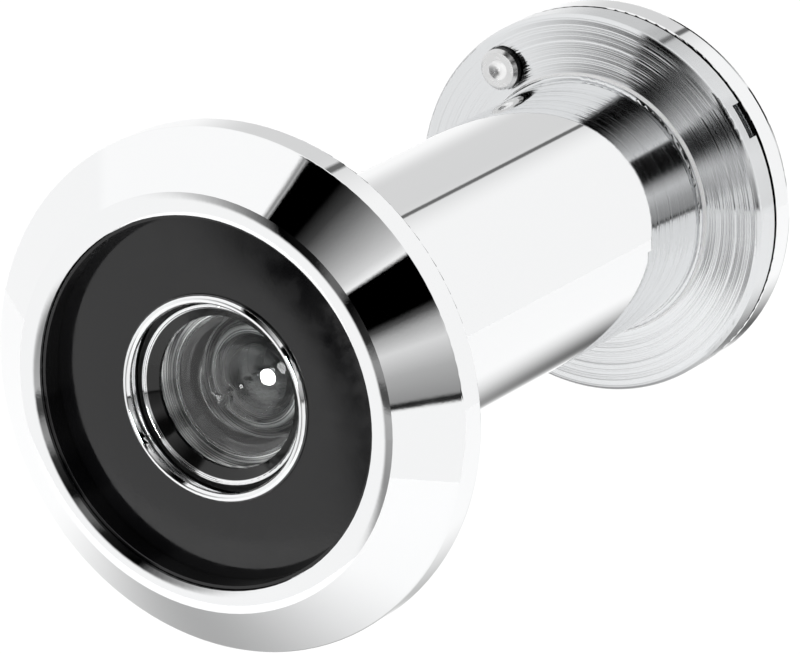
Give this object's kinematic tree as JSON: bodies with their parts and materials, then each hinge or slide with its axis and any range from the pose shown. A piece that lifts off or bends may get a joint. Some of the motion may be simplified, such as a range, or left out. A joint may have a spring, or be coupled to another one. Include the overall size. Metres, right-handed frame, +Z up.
{
  "type": "door viewer",
  "caption": "Chromed brass door viewer with a bevelled outdoor flange, wide-angle lens stack, screw-together barrel and a swinging privacy cover on the indoor flange.",
  "frame": {"origin": "on the barrel's axis, in the plane where the outdoor flange seats on the door", "axes": "+Y along the barrel from the outdoor flange to the indoor flange, +Z up as fitted, +X to the right seen from outdoors"},
  "size_m": [0.0278, 0.0432, 0.0278],
  "materials": {
    "chrome_plate": "mirror polished plate",
    "turned_chrome": "plated over fine lathe rings",
    "chrome_cover": "polished plate",
    "chrome_ring": "polished plate",
    "edge_chrome": "bright edge, blackened bevel",
    "gloss_black": "gloss moulded",
    "rubber_seal": "soft matt",
    "black_cell": "satin moulded",
    "nickel_spacer": "turned",
    "optical_glass": "polished",
    "bright_steel": "riveted",
    "spring_steel": "stamped"
  },
  "bodies": {
    "outdoor_half": {"front_barrel": "chrome_plate", "black_face_ring": "gloss_black", "lens_bezel": "chrome_ring", "bezel_seal": "rubber_seal", "lens_cell": "black_cell", "cell_retainer": "edge_chrome", "objective_lens": "optical_glass", "front_spacer": "nickel_spacer", "second_lens": "optical_glass", "rear_spacer": "nickel_spacer", "aperture_stop": "black_cell", "third_lens": "optical_glass"},
    "eyepiece_carrier": {"eyepiece_lens": "optical_glass", "baffle_sleeve": "black_cell", "field_stop": "black_cell"},
    "indoor_half": {"rear_barrel": "turned_chrome", "eyepiece_retainer": "nickel_spacer"},
    "cover": {"privacy_cover": "chrome_cover", "pivot_rivet": "bright_steel", "spring_washer": "spring_steel"}
  },
  "joints": [
    {"name": "rear_barrel_advance", "type": "slide", "parent": "outdoor_half", "child": "eyepiece_carrier", "axis": [0, 1, 0], "range_m": [0, 0.025]},
    {"name": "rear_barrel_turn", "type": "hinge", "parent": "eyepiece_carrier", "child": "indoor_half", "pos_m": [0, 0, 0], "axis": [0, 1, 0], "range_deg": [0, 9000]},
    {"name": "cover_swing", "type": "hinge", "parent": "indoor_half", "child": "cover", "pos_m": [-0.00536, 0.0371, 0.00686], "axis": [0, 1, 0], "continuous": true}
  ],
  "couplings": [
    {"joint": "rear_barrel_turn", "follows": "rear_barrel_advance", "rad_per_m": 6283.2}
  ]
}
